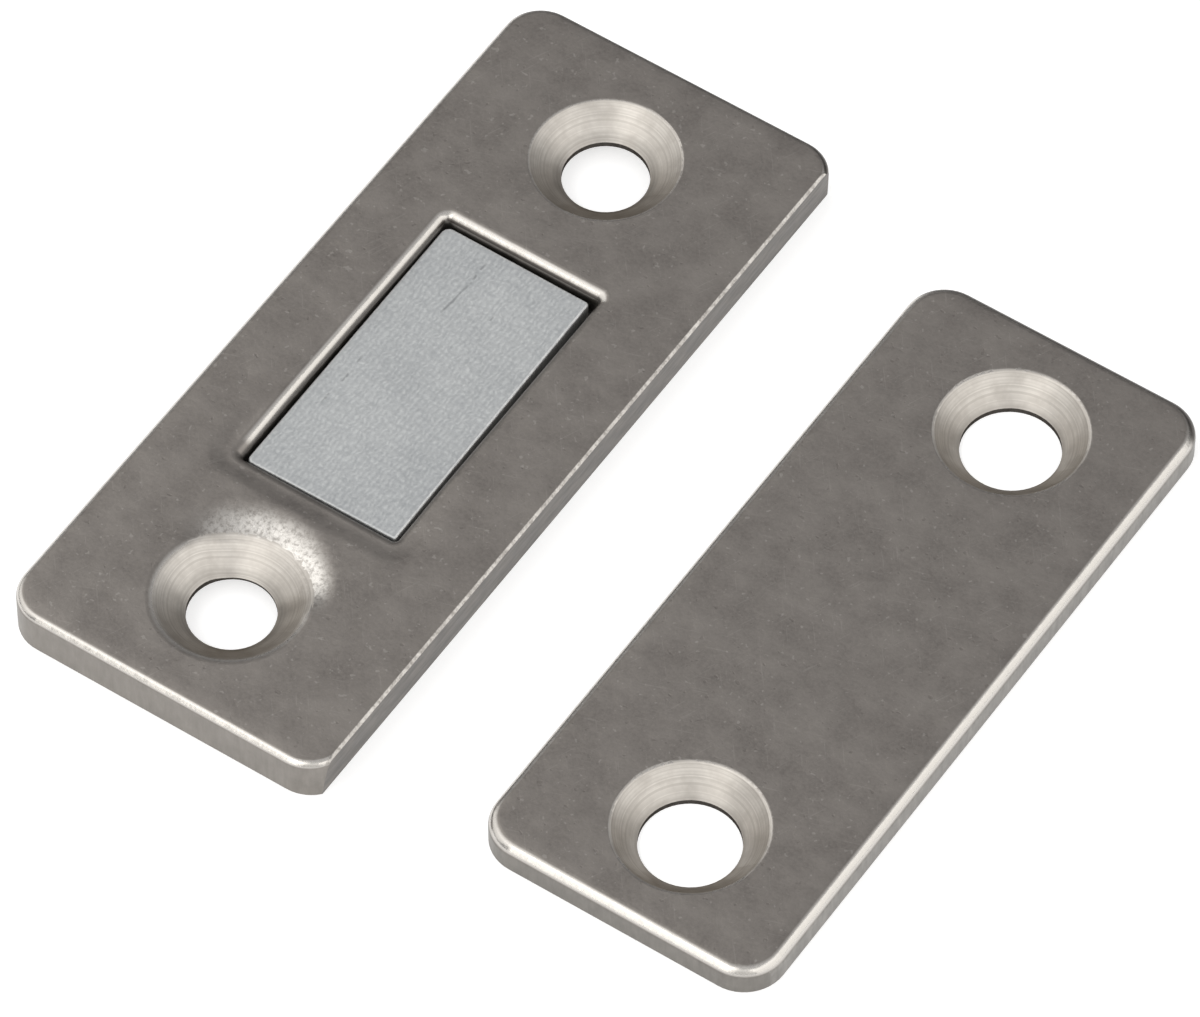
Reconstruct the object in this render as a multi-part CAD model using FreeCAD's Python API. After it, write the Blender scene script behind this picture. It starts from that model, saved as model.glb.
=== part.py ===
import FreeCAD, Part
import os

from FreeCAD import Vector

# Surface-mounted magnetic catch for a cabinet door, in two separate halves that lie side by
# side on their backs. The magnet plate goes on the cabinet and the strike plate on the door.
# Lengths are in millimetres. +Z points out of both faces and +Y runs along both plates.

# Magnet housing: steel plate with a turned-down rim, so that its back is a shallow recess.
# Its length, 45 mm, is what the window and the two screw holes take along it.
HOUSING_WIDTH = 18.5
HOUSING_HEIGHT = 2.5
HOUSING_RIM_WALL = 1.7
HOUSING_CORNER_RADIUS = 2.1
HOUSING_FACE_EDGE_RADIUS = 0.4
HOUSING_BACK_EDGE_BREAK = 0.06
HOUSING_HOLE_DIAMETER = 4.4
HOUSING_HOLE_TO_WINDOW = 7.2
HOUSING_HOLE_TO_END = 6.5
RECESS_DEPTH = 0.8
RECESS_CORNER_RADIUS = 0.9
RECESS_BEND_RADIUS = 0.3

# The housing's side towards the strike plate was sheared off last. It is sharp along the face
# and leans in towards its foot, while the other three sides keep their rolled edge.
SHEARED_STRIP_WIDTH = 0.3
SHEARED_SIDE_LEAN = 0.25
SHEARED_EDGE_BREAK = 0.12

# The window and both screw holes were punched together, a little off the middle of the plate
HOUSING_PUNCHING_SIDE_SHIFT = -0.2
HOUSING_PUNCHING_SHIFT_ALONG = -0.12

# Magnet: flat block in the window of the housing, its face a little below the housing's face
MAGNET_LENGTH = 17.1
MAGNET_WIDTH = 8.75
MAGNET_FACE_DROP = 0.57
MAGNET_EDGE_CHAMFER = 0.1
MAGNET_SIDE_CLEARANCE = 0.2
MAGNET_END_CLEARANCE = 0.25
WINDOW_CORNER_RADIUS = 0.2
WINDOW_EDGE_RADIUS = 0.5

# Backing plate: flat steel under the magnet, inside the recess, that carries it
BACKING_END_OVERLAP = 3.2
BACKING_THICKNESS = 0.6
BACKING_CORNER_RADIUS = 1.5
BACKING_SIDE_CLEARANCE = 0.4

# Strike plate: flat steel blank with two countersunk holes, a little off its middle
STRIKE_LENGTH = 40.0
STRIKE_WIDTH = 16.2
STRIKE_THICKNESS = 1.7
STRIKE_CORNER_RADIUS = 2.2
STRIKE_FACE_EDGE_RADIUS = 0.55
STRIKE_BACK_EDGE_BREAK = 0.06
STRIKE_HOLE_DIAMETER = 5.0
STRIKE_HOLE_TO_END = 6.0
STRIKE_PUNCHING_SIDE_SHIFT = 0.45
STRIKE_PUNCHING_SHIFT_ALONG = -0.15

# Countersinks of both plates take the same screw head. The housing's lower one was pressed
# harder, which rolled its rim over more.
SINK_RIM_DIAMETER = 7.6
SINK_DEPTH = 1.4
SINK_RIM_RADIUS = 0.25
SINK_PRESSED_RIM_RADIUS = 0.8

# How the two halves lie beside each other
GAP_BETWEEN_PLATES = 7.3
STRIKE_SHIFT_ALONG = -0.45

# Worked out from the sizes above; the origin is under the middle of the pair
pair_width = HOUSING_WIDTH + GAP_BETWEEN_PLATES + STRIKE_WIDTH
housing_x = (HOUSING_WIDTH - pair_width) / 2
strike_x = (pair_width - STRIKE_WIDTH) / 2
window_x = housing_x + HOUSING_PUNCHING_SIDE_SHIFT
window_y = HOUSING_PUNCHING_SHIFT_ALONG
window_length = MAGNET_LENGTH + 2 * MAGNET_END_CLEARANCE
window_width = MAGNET_WIDTH + 2 * MAGNET_SIDE_CLEARANCE
housing_hole_y = window_length / 2 + HOUSING_HOLE_TO_WINDOW
housing_length = 2 * (housing_hole_y + HOUSING_HOLE_TO_END)
recess_length = housing_length - 2 * HOUSING_RIM_WALL
recess_width = HOUSING_WIDTH - 2 * HOUSING_RIM_WALL
magnet_top = HOUSING_HEIGHT - MAGNET_FACE_DROP
backing_length = window_length + 2 * BACKING_END_OVERLAP
backing_width = recess_width - 2 * BACKING_SIDE_CLEARANCE
strike_hole_y = STRIKE_LENGTH / 2 - STRIKE_HOLE_TO_END

# How close two coordinates are when they mean the same place, and how far a cutter runs past a face
SAME = 0.0001
RUN_OUT = 1.0


def rounded_block(length, width, corner_radius, low, high):
    """Block with rounded upright corners, centred on Z, from height low to height high."""
    block = Part.makeBox(width, length, high - low, Vector(-width / 2, -length / 2, low))
    upright = [edge for edge in block.Edges if edge.BoundBox.ZLength > SAME]
    return block.makeFillet(corner_radius, upright)


def edges_at_height(shape, height):
    """Edges that lie flat at one height."""
    flat = []
    for edge in shape.Edges:
        box = edge.BoundBox
        if abs(box.ZMin - height) < SAME and abs(box.ZMax - height) < SAME:
            flat.append(edge)
    return flat


def sink_screw_hole(plate, face_height, centre, hole_diameter, rim_roll_radius):
    """Drills and countersinks one screw hole, and rolls over the rim of the sink."""
    hole_radius = hole_diameter / 2
    widening = (SINK_RIM_DIAMETER / 2 - hole_radius) / SINK_DEPTH
    drill = Part.makeCylinder(hole_radius, face_height, centre)
    sink = Part.makeCone(hole_radius, SINK_RIM_DIAMETER / 2 + widening * RUN_OUT,
                         SINK_DEPTH + RUN_OUT, centre + Vector(0, 0, face_height - SINK_DEPTH))
    plate = plate.cut(drill).cut(sink)
    rim_centre = centre + Vector(0, 0, face_height)
    rim = []
    for edge in edges_at_height(plate, face_height):
        if edge.CenterOfMass.distanceToPoint(rim_centre) < SAME:
            rim.append(edge)
    return plate.makeFillet(rim_roll_radius, rim)


def sheared_strip():
    """What the shears took off the housing's side, as a prism along the whole plate."""
    side = HOUSING_WIDTH / 2
    outline = [
        Vector(side - SHEARED_EDGE_BREAK, 0, HOUSING_HEIGHT),
        Vector(side, 0, HOUSING_HEIGHT - SHEARED_EDGE_BREAK),
        Vector(side - SHEARED_SIDE_LEAN, 0, 0),
        Vector(side + RUN_OUT, 0, 0),
        Vector(side + RUN_OUT, 0, HOUSING_HEIGHT),
    ]
    strip = Part.Face(Part.makePolygon(outline + outline[:1])).extrude(Vector(0, housing_length, 0))
    return strip.translated(Vector(0, -housing_length / 2, 0))


def make_magnet_housing():
    """Plate with a recessed back, a window for the magnet and two countersunk screw holes."""
    housing = rounded_block(housing_length, HOUSING_WIDTH + SHEARED_STRIP_WIDTH,
                            HOUSING_CORNER_RADIUS, 0, HOUSING_HEIGHT)
    housing = housing.makeFillet(HOUSING_FACE_EDGE_RADIUS, edges_at_height(housing, HOUSING_HEIGHT))
    housing = housing.makeChamfer(HOUSING_BACK_EDGE_BREAK, edges_at_height(housing, 0))
    housing = housing.translated(Vector(SHEARED_STRIP_WIDTH / 2, 0, 0))
    housing = housing.cut(sheared_strip())

    # The recess, with the inner radius where the rim turns down from the sheet
    recess = rounded_block(recess_length, recess_width, RECESS_CORNER_RADIUS, 0, RECESS_DEPTH)
    recess = recess.makeFillet(RECESS_BEND_RADIUS, edges_at_height(recess, RECESS_DEPTH))
    housing = housing.cut(recess)

    punching = Vector(HOUSING_PUNCHING_SIDE_SHIFT, HOUSING_PUNCHING_SHIFT_ALONG, 0)
    window = rounded_block(window_length, window_width, WINDOW_CORNER_RADIUS, 0, HOUSING_HEIGHT)
    housing = housing.cut(window.translated(punching))
    lip = []
    for edge in edges_at_height(housing, HOUSING_HEIGHT):
        away = edge.CenterOfMass - punching
        if abs(away.x) <= window_width / 2 + SAME and abs(away.y) <= window_length / 2 + SAME:
            lip.append(edge)
    housing = housing.makeFillet(WINDOW_EDGE_RADIUS, lip)

    for end, rim_roll_radius in ((1, SINK_RIM_RADIUS), (-1, SINK_PRESSED_RIM_RADIUS)):
        centre = punching + Vector(0, end * housing_hole_y, 0)
        housing = sink_screw_hole(housing, HOUSING_HEIGHT, centre, HOUSING_HOLE_DIAMETER,
                                  rim_roll_radius)
    return housing.translated(Vector(housing_x, 0, 0))


def make_magnet():
    """Flat block that stands on the backing plate in the window, with broken edges."""
    block = Part.makeBox(MAGNET_WIDTH, MAGNET_LENGTH, magnet_top - RECESS_DEPTH,
                         Vector(-MAGNET_WIDTH / 2, -MAGNET_LENGTH / 2, RECESS_DEPTH))
    block = block.makeChamfer(MAGNET_EDGE_CHAMFER, edges_at_height(block, magnet_top))
    return block.translated(Vector(window_x, window_y, 0))


def make_backing_plate():
    """Flat plate fixed to the underside of the sheet, spanning the window inside the recess."""
    plate = rounded_block(backing_length, backing_width, BACKING_CORNER_RADIUS,
                          RECESS_DEPTH - BACKING_THICKNESS, RECESS_DEPTH)
    return plate.translated(Vector(housing_x, window_y, 0))


def make_strike_plate():
    """Flat blank that the magnet pulls on, with a rolled face edge and two screw holes."""
    strike = rounded_block(STRIKE_LENGTH, STRIKE_WIDTH, STRIKE_CORNER_RADIUS, 0, STRIKE_THICKNESS)
    strike = strike.makeFillet(STRIKE_FACE_EDGE_RADIUS, edges_at_height(strike, STRIKE_THICKNESS))
    strike = strike.makeChamfer(STRIKE_BACK_EDGE_BREAK, edges_at_height(strike, 0))
    for end in (1, -1):
        centre = Vector(STRIKE_PUNCHING_SIDE_SHIFT,
                        end * strike_hole_y + STRIKE_PUNCHING_SHIFT_ALONG, 0)
        strike = sink_screw_hole(strike, STRIKE_THICKNESS, centre, STRIKE_HOLE_DIAMETER,
                                 SINK_RIM_RADIUS)
    return strike.translated(Vector(strike_x, STRIKE_SHIFT_ALONG, 0))


PIECES = {
    "magnet_housing": make_magnet_housing,
    "magnet": make_magnet,
    "backing_plate": make_backing_plate,
    "strike_plate": make_strike_plate,
}

os.makedirs("parts", exist_ok=True)
for name, make in PIECES.items():
    solid = make()
    solid.exportStep(os.path.join("parts", name + ".step"))
    print(name, "valid", solid.isValid(), "solids", len(solid.Solids), "volume", round(solid.Volume, 2))
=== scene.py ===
import math

import bmesh
import bpy
import numpy as np
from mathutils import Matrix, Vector


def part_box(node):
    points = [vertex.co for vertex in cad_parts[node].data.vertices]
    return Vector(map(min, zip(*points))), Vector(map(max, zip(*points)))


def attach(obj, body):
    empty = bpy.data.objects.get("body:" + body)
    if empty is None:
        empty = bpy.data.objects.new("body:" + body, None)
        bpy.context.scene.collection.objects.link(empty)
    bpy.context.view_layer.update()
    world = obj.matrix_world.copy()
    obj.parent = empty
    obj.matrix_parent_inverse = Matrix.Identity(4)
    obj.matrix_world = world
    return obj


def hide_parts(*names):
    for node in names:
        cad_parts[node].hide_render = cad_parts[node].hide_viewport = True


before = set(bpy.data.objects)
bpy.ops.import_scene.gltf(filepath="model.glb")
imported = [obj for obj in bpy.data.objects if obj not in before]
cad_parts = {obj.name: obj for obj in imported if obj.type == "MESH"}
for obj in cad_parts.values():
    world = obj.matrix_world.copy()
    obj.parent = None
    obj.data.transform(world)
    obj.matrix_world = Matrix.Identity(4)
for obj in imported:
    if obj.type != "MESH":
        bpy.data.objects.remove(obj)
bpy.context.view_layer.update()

# The magnet housing is the plate that goes on the cabinet: steel pressed to a shallow tray,
# punched, and tumbled, so its face is dull and speckled and its rolled edges are polished. The
# pressing drew the face down round the lower screw hole and along the window's near end.
MM = 0.001
GRID_CELL = 0.4 * MM
GRID_START = 0.28 * MM
SLOPE_STEP = 0.02 * MM
JUST_PAST = 0.01 * MM
CORNER_RADIUS = 2.1 * MM
EDGE_DROOP = 0.06 * MM
EDGE_DROOP_WIDTH = 1.1 * MM

# From a hole's axis: the reach of its sink, the face that is clear of it, its cone, and the rim
SINK_REACH = 3.95 * MM
SINK_CLEAR = SINK_REACH + 0.5 * MM
SINK_CONE = SINK_REACH - 0.6 * MM
SINK_RIM = 3.5 * MM
SINK_RIM_POLISH = 0.85

# A surface's lean is 1 on the face and 0 on a wall. Here rolled edges start and end, and faces
# are told apart as cones, walls and the right side.
ROLL_STARTS = 0.985
ROLL_STARTS_OVER = 0.05
ROLL_ENDS = 0.2
ROLL_ENDS_OVER = 0.35
UPRIGHT_BELOW = 0.3
CONE_BELOW = 0.93
SIDE_ABOVE = 0.9
SIDE_REACH = 1.2 * MM

# Painted shade darkens the far end's roll where it turns away, this near to that end
PAINTED_SHADE_STARTS = 0.10
PAINTED_SHADE_OVER = 0.25
PAINTED_SHADE_REACH = 2.5 * MM

# In shares of a plate's height: where its walls start to follow the sagging face, over how
# much, and where burnish starts
SAG_STARTS = 0.25
SAG_OVER = 0.4
BURNISH_ABOVE = 0.5

STEEL_DARK = (0.200, 0.183, 0.170, 1)
STEEL_LIGHT = (0.285, 0.263, 0.244, 1)
STEEL_POLISHED = (0.60, 0.575, 0.545, 1)
STEEL_BURNISHED_AND_GLARE = (0.76, 0.735, 0.70, 1)
STEEL_PIT = (0.12, 0.105, 0.095, 1)
STEEL_PAINTED_SHADE = (0.085, 0.076, 0.070, 1)
TURNED_DARK = (0.42, 0.392, 0.362, 1)
TURNED_LIGHT = (0.62, 0.590, 0.553, 1)
BORE_PAINTED_SHADE_DARK = (0.030, 0.026, 0.023, 1)
BORE_PAINTED_SHADE_LIGHT = (0.12, 0.11, 0.10, 1)
PIT_SHARE = 0.22
NICK_SHARE = 0.20
SCRATCH_SHARE = 0.08
POLISH_SMOOTHS = 0.14
CONE_FOOT_PAINTED_SHADE = (2.45, 2.75)
FACE, CONE, BORE_WALL, WALL, RIGHT_WALL = range(5)

# The wave node's scale at one band to a millimetre, the waver, edge and faded ends of a hair
# line in millimetres, and the sockets of the colour mix
WAVE_UNIT = math.pi / 10
WAVE_DETAIL_SCALE = 1.5
STROKE_WAVER = 0.12
STROKE_EDGE = (0.03, 0.075)
STROKE_FADES_OVER = 0.3
MIX_INPUTS = (0, 6, 7)
MIX_OUTPUT = 2


class Finish:
    """One material, built node by node from a surface's places in millimetres."""

    def __init__(self, name):
        self.material = bpy.data.materials.new(name)
        self.material.use_nodes = True
        self.tree = self.material.node_tree
        self.shader = self.tree.nodes["Principled BSDF"]
        place = self.add("ShaderNodeTexCoord")
        scale = self.add("ShaderNodeVectorMath", operation="SCALE", Vector=place.outputs["Object"])
        scale.inputs["Scale"].default_value = 1 / MM
        self.place = scale.outputs["Vector"]

    def add(self, kind, operation=None, **links):
        """Adds a node, and sets or links its inputs by name."""
        made = self.tree.nodes.new(kind)
        if operation:
            made.operation = operation
        for socket, value in links.items():
            self.set(made, socket.replace("_", " "), value)
        return made

    def set(self, made, socket, value):
        """Sets one input of a node, or links it."""
        if isinstance(value, bpy.types.NodeSocket):
            self.tree.links.new(value, made.inputs[socket])
        else:
            made.inputs[socket].default_value = value

    def look(self, **values):
        """Sets or links the shader's own inputs."""
        for socket, value in values.items():
            self.set(self.shader, socket.replace("_", " "), value)

    def carried(self, name, output="Fac"):
        """A value that the mesh carries at each point."""
        made = self.add("ShaderNodeAttribute")
        made.attribute_name = name
        return made.outputs[output]

    def noise(self, per_mm, detail=2.0, rough=0.5, stretch=(1, 1, 1), turn=0.0, shift=(0, 0, 0)):
        """Noise from 0 to 1 with per_mm features to a millimetre, drawn out by stretch."""
        turned = self.add("ShaderNodeMapping", Vector=self.place, Location=shift,
                          Rotation=(0, 0, math.radians(turn)))
        drawn = self.add("ShaderNodeMapping", Vector=turned.outputs["Vector"], Scale=stretch)
        made = self.add("ShaderNodeTexNoise", Vector=drawn.outputs["Vector"], Scale=per_mm,
                        Detail=detail, Roughness=rough)
        return made.outputs["Fac"]

    def spread(self, value, low, high, to_low=0.0, to_high=1.0):
        """Takes a value from one range to another, and stops at its ends."""
        made = self.add("ShaderNodeMapRange", Value=value, From_Min=low, From_Max=high,
                        To_Min=to_low, To_Max=to_high)
        return made.outputs["Result"]

    def mix(self, share, first, second):
        """Mixes two colours."""
        made = self.tree.nodes.new("ShaderNodeMix")
        made.data_type = "RGBA"
        for number, value in zip(MIX_INPUTS, (share, first, second)):
            self.set(made, number, value)
        return made.outputs[MIX_OUTPUT]

    def waves(self, direction, period, distortion):
        """Slightly wavy bands from 0 to 1 along X or Y, a period in millimetres apart."""
        made = self.add("ShaderNodeTexWave", Vector=self.place, Scale=WAVE_UNIT / period,
                        Distortion=distortion, Detail=2.0)
        made.bands_direction = direction
        made.inputs["Detail Scale"].default_value = WAVE_DETAIL_SCALE
        return made.outputs["Fac"]

    def combine(self, operation, first, second):
        """Makes one value of two by adding them, multiplying them and so on."""
        made = self.tree.nodes.new("ShaderNodeMath")
        made.operation = operation
        self.set(made, 0, first)
        self.set(made, 1, second)
        return made.outputs[0]

    def stroke(self, across, start, end):
        """A hair line along Y at one X, from start to end, from 0 off it to 1 on it."""
        split = self.add("ShaderNodeSeparateXYZ", Vector=self.place)
        waver = self.spread(self.noise(0.6, detail=2), 0.3, 0.7, -STROKE_WAVER, STROKE_WAVER)
        off = self.combine("SUBTRACT", self.combine("SUBTRACT", split.outputs["X"], across), waver)
        off = self.spread(self.combine("ABSOLUTE", off, 0.0), *STROKE_EDGE, 1.0, 0.0)
        middle = (start + end) / 2
        along = self.combine("ABSOLUTE", self.combine("SUBTRACT", split.outputs["Y"], middle), 0.0)
        half = (end - start) / 2
        ends = self.spread(along, half - STROKE_FADES_OVER, half, 1.0, 0.0)
        return self.combine("MULTIPLY", off, ends)

    def bump(self, height, depth, under=None, strength=1.0):
        """Lifts the surface by height times depth, on top of another bump."""
        made = self.add("ShaderNodeBump", Height=height, Distance=depth, Strength=strength)
        if under is not None:
            self.set(made, "Normal", under)
        return made.outputs["Normal"]


def tumbled_steel(name, shift):
    """Dull warm grey steel: speckle, pits and small scratches of tumbling, polished on edges."""
    finish = Finish(name)
    polish = finish.carried("edge_polish")
    unworn = finish.combine("POWER", finish.combine("SUBTRACT", 1.0, polish), 2.0)
    cloud = finish.noise(0.45, detail=4, rough=0.6, shift=shift)
    speckle = finish.noise(5.5, detail=3, rough=0.7, shift=shift)
    grain = finish.spread(finish.noise(5.2, detail=3, rough=0.7, shift=shift), 0.35, 0.56, 0.25, 1)
    patches = finish.spread(finish.noise(0.8, detail=2, shift=shift), 0.38, 0.58, 0.6, 1.0)
    burnished_and_painted_glare = finish.combine("MULTIPLY", finish.carried("burnish_and_painted_glare"),
                               finish.combine("MULTIPLY", grain, patches))
    polish = finish.combine("MAXIMUM", burnished_and_painted_glare, polish)
    pits = finish.spread(finish.noise(2.9, detail=1, shift=shift), 0.71, 0.77)
    nicks = finish.spread(finish.noise(3.3, detail=1, shift=(7, 3, 1)), 0.69, 0.75)
    scratches = 0.0
    for turn in (24, -38, 71):
        drawn = finish.noise(1.0, detail=1, stretch=(11, 0.45, 1), turn=turn, shift=shift)
        scratches = finish.combine("MAXIMUM", finish.spread(drawn, 0.70, 0.76), scratches)

    colour = finish.mix(finish.spread(cloud, 0.34, 0.66, 0.0, 0.88), STEEL_DARK, STEEL_LIGHT)
    colour = finish.mix(finish.spread(speckle, 0.35, 0.65, 0.0, 0.50), colour, STEEL_LIGHT)
    for marks, share, shade in ((pits, PIT_SHARE, STEEL_PIT), (nicks, NICK_SHARE, STEEL_POLISHED),
                                (scratches, SCRATCH_SHARE, STEEL_POLISHED)):
        colour = finish.mix(finish.combine("MULTIPLY", marks, share), colour, shade)
    colour = finish.mix(polish, colour, STEEL_POLISHED)
    # Burnish, and on the dish a painted highlight of its glare
    colour = finish.mix(burnished_and_painted_glare, colour, STEEL_BURNISHED_AND_GLARE)
    # Painted shade: the far end's roll and the low part of the window lip are darkened
    colour = finish.mix(finish.carried("edge_painted_shade"), colour, STEEL_PAINTED_SHADE)

    rough = finish.combine("SUBTRACT", finish.spread(speckle, 0.3, 0.7, 0.35, 0.43),
                           finish.combine("MULTIPLY", polish, POLISH_SMOOTHS))
    lumps = finish.noise(1.3, detail=3, rough=0.65, shift=shift)
    normal = finish.bump(cloud, 0.045 * MM)
    normal = finish.bump(finish.combine("SUBTRACT", lumps, pits), 0.005 * MM, under=normal,
                         strength=unworn)
    normal = finish.bump(speckle, 0.007 * MM, under=normal, strength=unworn)
    finish.look(Base_Color=colour, Metallic=1.0, Normal=normal, Roughness=rough)
    return finish.material


def turned_steel():
    """Bright cone left by the countersink bit, with fine rings round the hole."""
    finish = Finish("turned_steel")
    away = finish.carried("from_axis", "Vector")
    distance = finish.add("ShaderNodeVectorMath", operation="LENGTH", Vector=away).outputs["Value"]
    rings = finish.add("ShaderNodeTexNoise", Scale=11.0, Detail=3.0, Roughness=0.6)
    rings.noise_dimensions = "1D"
    finish.set(rings, "W", distance)
    rings = rings.outputs["Fac"]
    grime_and_painted_shade = finish.noise(1.1, detail=4, rough=0.6)
    share = finish.combine("MULTIPLY", finish.spread(rings, 0.3, 0.7, 0.3, 1.0),
                       finish.spread(grime_and_painted_shade, 0.3, 0.6, 0.3, 1.0))
    colour = finish.mix(share, TURNED_DARK, TURNED_LIGHT)
    # Painted shade: the cone darkens towards its foot, next to the hole
    colour = finish.mix(finish.spread(distance, *CONE_FOOT_PAINTED_SHADE, 0.25, 0.0), colour, BORE_PAINTED_SHADE_LIGHT)
    around = finish.add("ShaderNodeVectorMath", operation="CROSS_PRODUCT")
    finish.set(around, 0, (0, 0, 1))
    finish.set(around, 1, away)
    finish.look(Base_Color=colour, Metallic=1.0, Roughness=0.42, Anisotropic=0.5,
                Tangent=around.outputs["Vector"], Specular_Tint=(0.08, 0.07, 0.06, 1),
                Normal=finish.bump(rings, 0.0015 * MM))
    return finish.material


def painted_shade_bore():
    """The short punched wall under each cone, near black: painted shade for the dark inside of the
    hole.
    """
    finish = Finish("painted_shade_bore")
    speckle = finish.noise(5.0)
    finish.look(Base_Color=finish.mix(speckle, BORE_PAINTED_SHADE_DARK, BORE_PAINTED_SHADE_LIGHT), Metallic=1.0,
                Roughness=finish.spread(speckle, 0.2, 0.8, 0.45, 0.6),
                Specular_Tint=(0.3, 0.3, 0.3, 1))
    return finish.material


def cut_steel(name, dark, light, grain, soft=0.2):
    """Side wall of a blank as it was cut: faint streaks along the grain, and mottling."""
    finish = Finish(name)
    streaks = finish.noise(1.6, detail=3, rough=0.6, stretch=grain)
    mottle = finish.noise(1.1, detail=4, rough=0.65)
    share = finish.combine("ADD", finish.spread(streaks, 0.5 - soft, 0.5 + soft, 0.0, 0.5),
                       finish.spread(mottle, 0.35, 0.65, 0.0, 0.5))
    finish.look(Base_Color=finish.mix(share, dark, light), Metallic=1.0,
                Roughness=finish.spread(mottle, 0.3, 0.7, 0.34, 0.46),
                Normal=finish.bump(streaks, 0.008 * MM))
    return finish.material


TURNED = turned_steel()
BORE_PAINTED_SHADE = painted_shade_bore()


def smooth_step(share):
    """Eases a share from 0 to 1, level at both ends."""
    share = np.clip(share, 0, 1)
    return share * share * (3 - 2 * share)


def edge_droop(x, y, low, high):
    """How far a blank's face droops towards its cut outline, in metres."""
    out_x = np.abs(x - (low.x + high.x) / 2) - (high.x - low.x) / 2 + CORNER_RADIUS
    out_y = np.abs(y - (low.y + high.y) / 2) - (high.y - low.y) / 2 + CORNER_RADIUS
    beyond = np.hypot(np.maximum(out_x, 0), np.maximum(out_y, 0))
    inside = CORNER_RADIUS - beyond - np.minimum(np.maximum(out_x, out_y), 0)
    near = np.clip(1 - inside / EDGE_DROOP_WIDTH, 0, 1)
    return EDGE_DROOP * near * near


def cut_on_grid(mesh, low, high, sheared_edge):
    """Cuts the faces on a grid in plan, and along the sheared edge, so that they can bend."""
    cut = bmesh.new()
    cut.from_mesh(mesh)
    for axis, across in ((0, Vector((1, 0, 0))), (1, Vector((0, 1, 0)))):
        lines = list(np.arange(low[axis] + GRID_START, high[axis], GRID_CELL))
        if axis == 0 and sheared_edge < high.x:
            lines.append(sheared_edge)
        for place in lines:
            everything = cut.verts[:] + cut.edges[:] + cut.faces[:]
            bmesh.ops.bisect_plane(cut, geom=everything, plane_co=across * place, plane_no=across)
    cut.to_mesh(mesh)
    cut.free()


def vectors_of(holder, value, count):
    """One row of three numbers for each of count points or corners."""
    flat = np.zeros(count * 3)
    holder.foreach_get(value, flat)
    return flat.reshape(-1, 3)


def mean_at_points(values, corner, count):
    """The mean at each of count points of a value that the corners of its faces have."""
    total = np.zeros(count)
    np.add.at(total, corner, values)
    return total / np.maximum(np.bincount(corner, minlength=count), 1)


def finish_faces(mesh, holes, finishes, right_side):
    """Gives each face its finish: face, cone, bore, wall, or wall on the right side."""
    mesh.materials.clear()
    for finish in finishes:
        mesh.materials.append(finish)
    for face in mesh.polygons:
        face.use_smooth = True
        centre = face.center
        away = min((Vector((centre.x - x, centre.y - y)).length for x, y in holes))
        upright = abs(face.normal.z) < UPRIGHT_BELOW
        in_sink = away < SINK_CONE and face.normal.z > 0
        on_cone = in_sink or UPRIGHT_BELOW < face.normal.z < CONE_BELOW
        if away < SINK_REACH and not upright and on_cone:
            face.material_index = CONE
        elif upright and away < SINK_REACH:
            face.material_index = BORE_WALL
        elif upright:
            on_right = face.normal.x > SIDE_ABOVE and centre.x > right_side - SIDE_REACH
            face.material_index = RIGHT_WALL if on_right else WALL
        else:
            face.material_index = FACE


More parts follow.
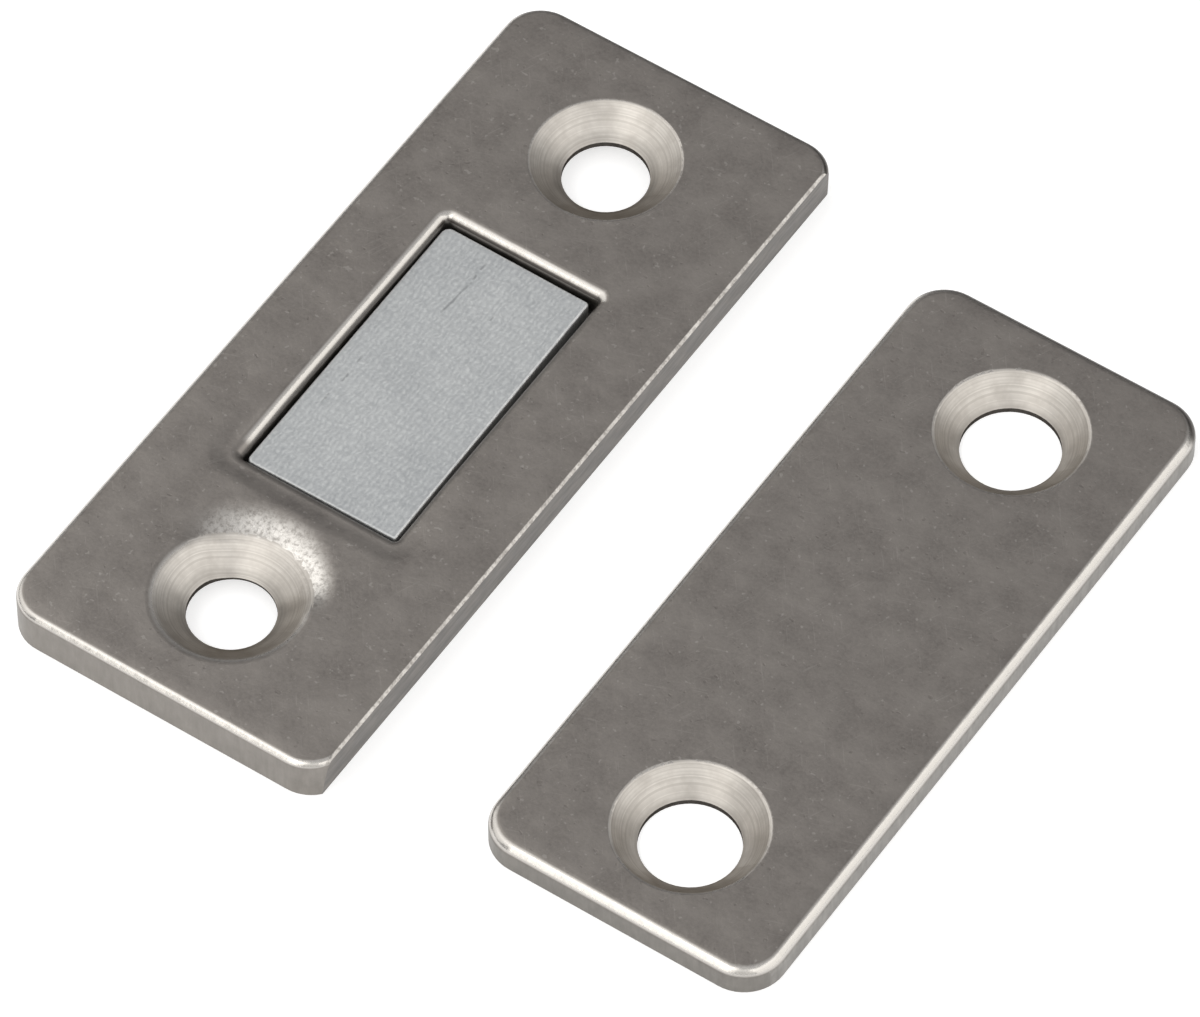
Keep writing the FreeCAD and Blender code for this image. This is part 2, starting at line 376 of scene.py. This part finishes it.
def plate_from(node_name, name, holes, sag, finishes, burnish_and_painted_glare=None, lip=None,
               sheared_edge=math.inf):
    """A plate's own mesh, cut on a grid so that its face can sag, worn and finished."""
    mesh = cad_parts[node_name].data.copy()
    low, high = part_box(node_name)
    normals = np.array([corner.vector for corner in mesh.corner_normals], float)
    kept = mesh.attributes.new("plain_normal", "FLOAT_VECTOR", "CORNER")
    kept.data.foreach_set("vector", normals.ravel())
    cut_on_grid(mesh, low, high, sheared_edge)

    places = vectors_of(mesh.vertices, "co", len(mesh.vertices))
    gaps = places[:, None, :2] - np.array(holes)[None]
    nearest = np.argmin(np.linalg.norm(gaps, axis=2), axis=1)
    from_axis = np.zeros_like(places)
    from_axis[:, :2] = gaps[np.arange(len(places)), nearest]
    away = np.linalg.norm(from_axis, axis=1)

    kept = mesh.attributes["plain_normal"]
    normals = vectors_of(kept.data, "vector", len(mesh.loops))
    mesh.attributes.remove(kept)
    corner = np.zeros(len(mesh.loops), int)
    mesh.loops.foreach_get("vertex_index", corner)
    lean = mean_at_points(normals[:, 2], corner, len(places))
    turned_away = mean_at_points(normals[:, 1], corner, len(places))

    # Polish on the rolled edges, and painted shade that darkens the roll of the far end
    rolled = (smooth_step((ROLL_STARTS - lean) / ROLL_STARTS_OVER)
              * smooth_step((lean - ROLL_ENDS) / ROLL_ENDS_OVER))
    clear = away > SINK_CLEAR
    polish = rolled * np.where(clear, 1, SINK_RIM_POLISH * (away > SINK_RIM))
    grime_and_painted_shade = rolled * smooth_step((turned_away - PAINTED_SHADE_STARTS) / PAINTED_SHADE_OVER) * clear
    grime_and_painted_shade *= places[:, 1] > high.y - PAINTED_SHADE_REACH
    if lip:
        kept_polish, lip_painted_shade = lip_polish_and_painted_shade(places, lean)
        polish *= kept_polish
        grime_and_painted_shade = np.maximum(grime_and_painted_shade, lip_painted_shade)
    polish *= (1 - grime_and_painted_shade) * (places[:, 0] <= sheared_edge + JUST_PAST)
    burnished_and_painted_glare = np.zeros(len(places))
    if burnish_and_painted_glare:
        on_top = places[:, 2] > BURNISH_ABOVE * high.z
        burnished_and_painted_glare = burnish_and_painted_glare(places[:, 0], places[:, 1]) * on_top

    share = smooth_step((places[:, 2] - SAG_STARTS * high.z) / (SAG_OVER * high.z))
    drop = sag(places[:, 0], places[:, 1])
    slope_x = (sag(places[:, 0] + SLOPE_STEP, places[:, 1]) - drop) / SLOPE_STEP * share
    slope_y = (sag(places[:, 0], places[:, 1] + SLOPE_STEP) - drop) / SLOPE_STEP * share
    places[:, 2] += drop * share
    if lip:
        lip(places)
    mesh.vertices.foreach_set("co", places.ravel())
    normals[:, 0] -= normals[:, 2] * slope_x[corner]
    normals[:, 1] -= normals[:, 2] * slope_y[corner]
    normals /= np.linalg.norm(normals, axis=1, keepdims=True)

    turning = mesh.attributes.new("from_axis", "FLOAT_VECTOR", "POINT")
    turning.data.foreach_set("vector", (from_axis / MM).ravel())
    for carried, values in (("edge_polish", polish), ("burnish_and_painted_glare", burnished_and_painted_glare),
                            ("edge_painted_shade", grime_and_painted_shade)):
        mesh.attributes.new(carried, "FLOAT", "POINT").data.foreach_set("value", values)
    finish_faces(mesh, holes, finishes, high.x)
    mesh.normals_split_custom_set(normals.tolist())
    plate = bpy.data.objects.new(name, mesh)
    bpy.context.scene.collection.objects.link(plate)
    return plate


# Where the housing was punched and sheared, and the dish that the press left by its lower hole.
# The dish's directions are angles round that hole from +X, and it ends where the cosine of the
# angle away from its direction gets small.
PUNCHING_X = -11.95 * MM
PUNCHING_Y = -0.12 * MM
HOUSING_HOLES = ((PUNCHING_X, PUNCHING_Y + 16.0 * MM), (PUNCHING_X, PUNCHING_Y - 16.0 * MM))
SHEARED_EDGE = -2.66 * MM
SHEARED_EDGE_BURNISH = 0.5
DISH_DEPTH = 0.42 * MM
DISH_HOLLOW = 1.35
DISH_RIM = 3.75 * MM
DISH_REACH = 5.0 * MM
DISH_TOWARDS = math.radians(88)
DISH_ENDS = 0.25
DISH_ENDS_OVER = 0.55
DISH_WIDENS = 0.14
DISH_WIDENS_TOWARDS = math.radians(125)
# The dish is painted brightest towards this angle round the hole: a painted highlight of its glare
DISH_PAINTED_GLARE_TOWARDS = math.radians(62)
DISH_PAINTED_GLARE_OVER = 0.85
DISH_LEAST_BURNISH = 0.3
DISH_FULL_BURNISH = 0.75


def dish_share(x, y):
    """How far into the dish by the lower hole a place is, from 0 at its edge to 1 at the sink."""
    out_x, out_y = x - HOUSING_HOLES[1][0], y - HOUSING_HOLES[1][1]
    away = np.hypot(out_x, out_y)
    around = np.arctan2(out_y, out_x)
    facing = np.cos(around - DISH_TOWARDS)
    reach = DISH_REACH * (1 + DISH_WIDENS * np.cos(around - DISH_WIDENS_TOWARDS))
    inward = np.clip((reach - away) / (reach - DISH_RIM), 0, 1)
    return inward * smooth_step((facing - DISH_ENDS) / DISH_ENDS_OVER)


def housing_burnish_and_glare(x, y):
    """Burnish on the dish and the sharp edge of the sheared side; on the dish it is brightest
    towards one side, a painted highlight of the dish's glare.
    """
    around = np.arctan2(y - HOUSING_HOLES[1][1], x - HOUSING_HOLES[1][0])
    painted_glare = smooth_step(np.cos(around - DISH_PAINTED_GLARE_TOWARDS) / DISH_PAINTED_GLARE_OVER)
    dish = smooth_step(dish_share(x, y) / DISH_FULL_BURNISH)
    dish *= DISH_LEAST_BURNISH + (1 - DISH_LEAST_BURNISH) * painted_glare
    return np.maximum(dish, SHEARED_EDGE_BURNISH * (x > SHEARED_EDGE + JUST_PAST))


# The window's rolled lip is drawn in on the left and the far side. Its right and near sides, past
# 1.9 of the window's half sizes, are unpolished, and painted shade darkens it low where it leans
# most.
WINDOW_HALF_WIDTH = 4.575 * MM
WINDOW_HALF_LENGTH = 8.8 * MM
LIP_RADIUS = 0.5 * MM
LIP_DRAWN_IN = 0.09 * MM
LIP_DRAWN_FROM = 1.2 * MM
LIP_DRAWN_OVER = 0.6 * MM
LIP_FADES_OVER = 1.4 * MM
LIP_OPPOSITE = 1.9
LIP_CORNER = 0.1 * MM
LIP_PLAIN_POLISH = 0.1
LIP_FAR_PAINTED_SHADE = 0.9
LIP_SIDE_PAINTED_SHADE = 0.45
LIP_PAINTED_SHADE_BELOW = 0.70
LIP_PAINTED_SHADE_OVER = 0.22


def on_lip(places):
    """How far in from the window's left and far edge each place is, and which lie on its lip."""
    left = places[:, 0] - PUNCHING_X + WINDOW_HALF_WIDTH
    far = PUNCHING_Y + WINDOW_HALF_LENGTH - places[:, 1]
    across = (left > -LIP_RADIUS) & (left < 2 * WINDOW_HALF_WIDTH + LIP_RADIUS)
    along = (far > -LIP_RADIUS) & (far < 2 * WINDOW_HALF_LENGTH + LIP_RADIUS)
    return left, far, across & along


def lip_polish_and_painted_shade(places, lean):
    """How much polish each place on the lip keeps, and how much painted shade darkens it low down.
    """
    left, far, lip = on_lip(places)
    on_right = (left > LIP_OPPOSITE * WINDOW_HALF_WIDTH) & (far > LIP_CORNER)
    on_near = far > LIP_OPPOSITE * WINDOW_HALF_LENGTH
    fades = smooth_step((2 * WINDOW_HALF_LENGTH - far) / LIP_FADES_OVER)
    kept_polish = np.where(lip, np.where(on_right | on_near, LIP_PLAIN_POLISH, 1) * fades, 1)
    most_painted_shade = np.where(far < 0, LIP_FAR_PAINTED_SHADE, LIP_SIDE_PAINTED_SHADE)
    lip_painted_shade = most_painted_shade * lip * smooth_step((LIP_PAINTED_SHADE_BELOW - lean) / LIP_PAINTED_SHADE_OVER)
    return kept_polish, lip_painted_shade


def draw_housing_lip(places):
    """Draws the window's left and far lip in towards the magnet, to leave the thin gap there."""
    left, far, lip = on_lip(places)
    near_top = smooth_step((places[:, 2] - LIP_DRAWN_FROM) / LIP_DRAWN_OVER) * lip
    for axis, inward, to_edge in ((0, 1, left), (1, -1, far)):
        drawn = np.clip(1 + to_edge / LIP_RADIUS, 0, 1) * (to_edge < 0.5 * LIP_RADIUS)
        places[:, axis] += inward * LIP_DRAWN_IN * drawn * near_top


# The step that the press left round the window's near end
STEP_DEPTH = 0.12 * MM
STEP_STARTS = 1.6 * MM
STEP_ENDS = 0.55 * MM
STEP_FADES_OVER = 5.0 * MM


def housing_sag(x, y):
    """How far the pressing drew the housing's face down, in metres below zero."""
    dish = DISH_DEPTH * dish_share(x, y) ** DISH_HOLLOW
    out_x = np.maximum(np.abs(x - PUNCHING_X) - WINDOW_HALF_WIDTH, 0)
    out_y = np.maximum(PUNCHING_Y - WINDOW_HALF_LENGTH - y, 0)
    from_window = np.hypot(out_x, out_y)
    to_step = PUNCHING_Y - WINDOW_HALF_LENGTH + STEP_FADES_OVER - y
    near_end = smooth_step(to_step / STEP_FADES_OVER)
    pressed = smooth_step((STEP_STARTS - from_window) / (STEP_STARTS - STEP_ENDS))
    low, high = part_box("magnet_housing")
    past_shear = Vector((high.x + 2 * CORNER_RADIUS, high.y, high.z))
    return -dish - STEP_DEPTH * pressed * near_end - edge_droop(x, y, low, past_shear)


UPRIGHT_GRAIN = (2.2, 2.2, 0.5)
LENGTHWISE_GRAIN = (2.0, 0.4, 2.2)
HOUSING_WALL = cut_steel("housing_wall", dark=(0.21, 0.195, 0.178, 1),
                         light=(0.29, 0.27, 0.25, 1), grain=UPRIGHT_GRAIN)
HOUSING_SHEARED = cut_steel("housing_sheared_side", dark=(0.070, 0.062, 0.056, 1),
                            light=(0.205, 0.188, 0.172, 1), grain=LENGTHWISE_GRAIN, soft=0.15)
housing = plate_from("magnet_housing", "housing_plate", HOUSING_HOLES, housing_sag,
                     (tumbled_steel("housing_steel", (0, 0, 0)), TURNED, BORE_PAINTED_SHADE, HOUSING_WALL,
                      HOUSING_SHEARED),
                     burnish_and_painted_glare=housing_burnish_and_glare, lip=draw_housing_lip, sheared_edge=SHEARED_EDGE)
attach(housing, "root")
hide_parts("magnet_housing")

# The magnet is a flat sintered block with a zinc coat, ground lengthwise, its corners chipped
# round and its edges rubbed bright. It is glued to the backing plate, a little askew in the
# window, so the gap beside it is widest at the far end of its right side.
MAGNET_EDGE = 0.10
MAGNET_EDGE_STEPS = 5
MAGNET_RUBBED_IN = 0.05
MAGNET_ARC_STEPS = 8
RUBBED_LEAST = 0.25
RUBBED_TOWARDS_RIGHT = 0.65
SCRATCH_STRENGTH = 0.42
RUBBING_SMOOTHS = 0.15
ZINC_RUBBED = (0.88, 0.885, 0.88, 1)
ZINC_DARK = (0.40, 0.415, 0.430, 1)
ZINC_LIGHT = (0.63, 0.645, 0.650, 1)
ZINC_SCRATCH = (0.16, 0.165, 0.17, 1)

# Each corner's X, Y and radius, and each scratch's X, start and end along Y, in millimetres
MAGNET_CORNERS = ((-16.37, 8.47, 0.45), (-16.25, -8.77, 0.32), (-7.57, -8.70, 0.12),
                  (-7.83, 8.39, 0.22))
MAGNET_SHARPEST = 0.01
ZINC_STROKES = ((-13.43, 3.8, 7.7), (-11.30, 4.5, 5.3), (-15.18, -4.1, -0.4))


def ground_zinc():
    """Matt bluish zinc with grinding lines along the block and a few dark scratches."""
    finish = Finish("ground_zinc")
    ridges = finish.waves("X", 0.27, 6.0)
    ripples = finish.waves("Y", 0.48, 9.0)
    cloth = finish.combine("MULTIPLY", ridges, finish.spread(ripples, 0, 1, 0.35, 1.0))
    grain = finish.noise(4.5, detail=2, rough=0.7)
    cloud = finish.noise(0.35, detail=3)
    dashes = finish.spread(finish.noise(2.4, detail=1), 0.42, 0.55)
    scratch = 0.0
    for place in ZINC_STROKES:
        scratch = finish.combine("MAXIMUM", finish.stroke(*place), scratch)
    scratch = finish.combine("MULTIPLY", scratch, dashes)
    share = finish.combine("ADD", finish.spread(cloth, 0.1, 0.9, 0.0, 0.34),
                       finish.spread(grain, 0.3, 0.7, 0.0, 0.50))
    share = finish.combine("ADD", share, finish.spread(cloud, 0.35, 0.65, 0.0, 0.18))
    colour = finish.mix(share, ZINC_DARK, ZINC_LIGHT)
    colour = finish.mix(finish.combine("MULTIPLY", scratch, SCRATCH_STRENGTH), colour,
                        ZINC_SCRATCH)
    rubbed = finish.combine("MULTIPLY", finish.carried("edge_polish"),
                            finish.spread(dashes, 0, 1, 0.7, 1))
    colour = finish.mix(rubbed, colour, ZINC_RUBBED)
    height = finish.combine("SUBTRACT", finish.combine("ADD", cloth, grain), scratch)
    finish.look(Base_Color=colour, Metallic=0.7, Normal=finish.bump(height, 0.007 * MM),
                Roughness=finish.combine("SUBTRACT", finish.spread(grain, 0.2, 0.8, 0.48, 0.60),
                                         finish.combine("MULTIPLY", rubbed, RUBBING_SMOOTHS)))
    return finish.material


def magnet_ring(block, inset, height, worn):
    """One ring of the block's outline, pulled in by inset, at one height, in millimetres."""
    rubbed = block.verts.layers.float["edge_polish"]
    ring = []
    for turn, (x, y, radius) in zip((90, 180, 270, 0), MAGNET_CORNERS):
        out_x, out_y = (-1 if 90 <= turn < 270 else 1), (-1 if turn >= 180 else 1)
        rounding = max(radius - inset, MAGNET_SHARPEST)
        centre_x, centre_y = x - out_x * (inset + rounding), y - out_y * (inset + rounding)
        for step in range(MAGNET_ARC_STEPS + 1):
            angle = math.radians(turn + 90 * step / MAGNET_ARC_STEPS)
            place = Vector((centre_x + rounding * math.cos(angle),
                            centre_y + rounding * math.sin(angle), height))
            corner = block.verts.new(place * MM)
            corner[rubbed] = worn * (RUBBED_LEAST + RUBBED_TOWARDS_RIGHT * max(math.cos(angle), 0))
            ring.append(corner)
    return ring


def magnet_block():
    """The block, ring by ring up its sides and over its rubbed edge."""
    low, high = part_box("magnet")
    top = high.z / MM
    block = bmesh.new()
    block.verts.layers.float.new("edge_polish")
    rings = [magnet_ring(block, 0, low.z / MM, 0)]
    for step in range(MAGNET_EDGE_STEPS + 1):
        angle = math.radians(90 * step / MAGNET_EDGE_STEPS)
        inset, drop = MAGNET_EDGE * (1 - math.cos(angle)), MAGNET_EDGE * (1 - math.sin(angle))
        rings.append(magnet_ring(block, inset, top - drop, 1))
    rings.append(magnet_ring(block, MAGNET_EDGE + MAGNET_RUBBED_IN, top, 0))
    for lower, upper in zip(rings, rings[1:]):
        for index, corner in enumerate(lower):
            after = (index + 1) % len(lower)
            block.faces.new((corner, lower[after], upper[after], upper[index]))
    block.faces.new(rings[-1])
    block.faces.new(rings[0][::-1])
    for face in block.faces:
        face.smooth = True
    mesh = bpy.data.meshes.new("magnet_block")
    block.to_mesh(mesh)
    block.free()
    return mesh


magnet = bpy.data.objects.new("magnet_block", magnet_block())
magnet.data.materials.append(ground_zinc())
bpy.context.scene.collection.objects.link(magnet)
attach(magnet, "root")
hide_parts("magnet")

# The backing plate is plain rolled steel, glued in the tray's hollow back under the magnet. It
# is seen only from behind, and dark in the gap round the magnet.
ROLLED_DARK = (0.10, 0.10, 0.10, 1)
ROLLED_LIGHT = (0.17, 0.17, 0.165, 1)


def rolled_steel():
    """Grey mill finish with faint rolling lines."""
    finish = Finish("rolled_steel")
    lines = finish.noise(0.8, detail=4, rough=0.6, stretch=(4.0, 0.4, 1))
    finish.look(Base_Color=finish.mix(lines, ROLLED_DARK, ROLLED_LIGHT), Metallic=1.0,
                Roughness=finish.spread(lines, 0.2, 0.8, 0.38, 0.5),
                Normal=finish.bump(lines, 0.004 * MM))
    return finish.material


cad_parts["backing_plate"].data.materials[0] = rolled_steel()

# The strike plate goes on the door: a flat steel blank, stamped with a rolled-over face edge,
# countersunk and tumbled in the same drum as the housing. Nothing is fixed to it.
STRIKE_HOLES = ((13.35 * MM, 13.40 * MM), (13.35 * MM, -14.60 * MM))


def strike_sag(x, y):
    """The strike's face is flat, and only droops towards its outline."""
    return -edge_droop(x, y, *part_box("strike_plate"))


STRIKE_WALL = cut_steel("strike_wall", dark=(0.17, 0.16, 0.148, 1),
                        light=(0.25, 0.236, 0.218, 1), grain=UPRIGHT_GRAIN)
STRIKE_SIDE = cut_steel("strike_side", dark=(0.18, 0.17, 0.158, 1),
                        light=(0.33, 0.315, 0.298, 1), grain=UPRIGHT_GRAIN)
strike = plate_from("strike_plate", "strike_blank", STRIKE_HOLES, strike_sag,
                    (tumbled_steel("strike_steel", (31, 17, 5)), TURNED, BORE_PAINTED_SHADE, STRIKE_WALL,
                     STRIKE_SIDE))
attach(strike, "root")
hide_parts("strike_plate")

# The plates lie on a plain white table in a small studio: a soft box to each side of the camera
# and a weaker one between them, a pale wall to the left, and a room that is brighter overhead.
# The table glows only to the camera and in reflections, and keeps the plates' shadow.
TABLE_SIZE = 2.0
TABLE_WHITE = (0.62, 0.62, 0.62, 1)
TABLE_DROP = 0.02 * MM
TABLE_ROUGHNESS = 0.9
TABLE_GLOW = 0.60
ROOM_LOW = 0.30
ROOM_LOW_BELOW = 0.40
ROOM_HIGH = 0.66
ROOM_HIGH_ABOVE = 0.82
LAMP_DISTANCE = 0.6
LAMP_COLOUR = (1.0, 0.985, 0.95)

table_mesh = bpy.data.meshes.new("table")
half = TABLE_SIZE / 2
table_mesh.from_pydata([(-half, -half, 0), (half, -half, 0), (half, half, 0), (-half, half, 0)],
                       [], [(0, 1, 2, 3)])
table = bpy.data.objects.new("table", table_mesh)
table.location.z = -TABLE_DROP
bpy.context.scene.collection.objects.link(table)
table_material = bpy.data.materials.new("table_white")
table_material.use_nodes = True
tree = table_material.node_tree
shader = tree.nodes["Principled BSDF"]
shader.inputs["Base Color"].default_value = TABLE_WHITE
shader.inputs["Roughness"].default_value = TABLE_ROUGHNESS
path = tree.nodes.new("ShaderNodeLightPath")
shown = path.outputs["Is Camera Ray"]
for ray in ("Is Glossy Ray", "Is Transmission Ray"):
    either = tree.nodes.new("ShaderNodeMath")
    either.operation = "MAXIMUM"
    tree.links.new(shown, either.inputs[0])
    tree.links.new(path.outputs[ray], either.inputs[1])
    shown = either.outputs[0]
glow = tree.nodes.new("ShaderNodeMath")
glow.operation = "MULTIPLY"
glow.inputs[1].default_value = TABLE_GLOW
tree.links.new(shown, glow.inputs[0])
shader.inputs["Emission Color"].default_value = (1, 1, 1, 1)
tree.links.new(glow.outputs[0], shader.inputs["Emission Strength"])
table_mesh.materials.append(table_material)

room = bpy.data.worlds.new("room")
bpy.context.scene.world = room
room.use_nodes = True
tree = room.node_tree
background = tree.nodes["Background"]
direction = tree.nodes.new("ShaderNodeTexCoord")
split = tree.nodes.new("ShaderNodeSeparateXYZ")
tree.links.new(direction.outputs["Generated"], split.inputs["Vector"])
strength = tree.nodes.new("ShaderNodeMapRange")
strength.interpolation_type = "SMOOTHSTEP"
for end, value in (("From Min", ROOM_LOW_BELOW), ("From Max", ROOM_HIGH_ABOVE),
                   ("To Min", ROOM_LOW), ("To Max", ROOM_HIGH)):
    strength.inputs[end].default_value = value
tree.links.new(split.outputs["Z"], strength.inputs["Value"])
background.inputs["Color"].default_value = (1, 1, 1, 1)
tree.links.new(strength.outputs["Result"], background.inputs["Strength"])


def soft_box(name, azimuth, elevation, width, height, radiance):
    """A flat lamp that faces the plates; azimuth counts from +X towards +Y, in degrees."""
    lamp = bpy.data.lights.new(name, "AREA")
    lamp.shape = "RECTANGLE"
    lamp.size = width
    lamp.size_y = height
    lamp.energy = radiance * math.pi * width * height
    lamp.color = LAMP_COLOUR
    box = bpy.data.objects.new(name, lamp)
    turn, lift = math.radians(azimuth), math.radians(elevation)
    towards = Vector((math.cos(turn) * math.cos(lift), math.sin(turn) * math.cos(lift),
                      math.sin(lift)))
    box.location = towards * LAMP_DISTANCE
    box.rotation_euler = towards.to_track_quat("Z", "Y").to_euler()
    box.visible_camera = False
    bpy.context.scene.collection.objects.link(box)


soft_box("left_soft_box", azimuth=-98, elevation=31, width=0.34, height=0.66, radiance=1.7)
soft_box("near_fill", azimuth=-57, elevation=26, width=0.50, height=0.52, radiance=0.5)
soft_box("left_wall", azimuth=-165, elevation=42, width=0.80, height=0.78, radiance=0.85)
soft_box("right_soft_box", azimuth=5, elevation=27, width=0.96, height=0.56, radiance=1.1)

# The camera's place and lens were fitted to the plates' outlines, holes and window. Its azimuth
# counts from -Y towards +X, in degrees.
CAMERA_AZIMUTH = 33.96
CAMERA_ELEVATION = 53.35
CAMERA_DISTANCE = 0.4958
CAMERA_AIM = (-2.531 * MM, 1.389 * MM, -3.037 * MM)
LENS = 305.97
SENSOR_WIDTH = 36
NEAREST_SEEN = 0.01

turn, lift = math.radians(CAMERA_AZIMUTH), math.radians(CAMERA_ELEVATION)
back = Vector((math.sin(turn) * math.cos(lift), -math.cos(turn) * math.cos(lift), math.sin(lift)))
camera_lens = bpy.data.cameras.new("camera")
camera_lens.sensor_width = SENSOR_WIDTH
camera_lens.lens = LENS
camera_lens.clip_start = NEAREST_SEEN
camera = bpy.data.objects.new("camera", camera_lens)
camera.location = Vector(CAMERA_AIM) + back * CAMERA_DISTANCE
camera.rotation_euler = back.to_track_quat("Z", "Y").to_euler()
bpy.context.scene.collection.objects.link(camera)
bpy.context.scene.camera = camera
bpy.context.scene.view_settings.view_transform = "Standard"
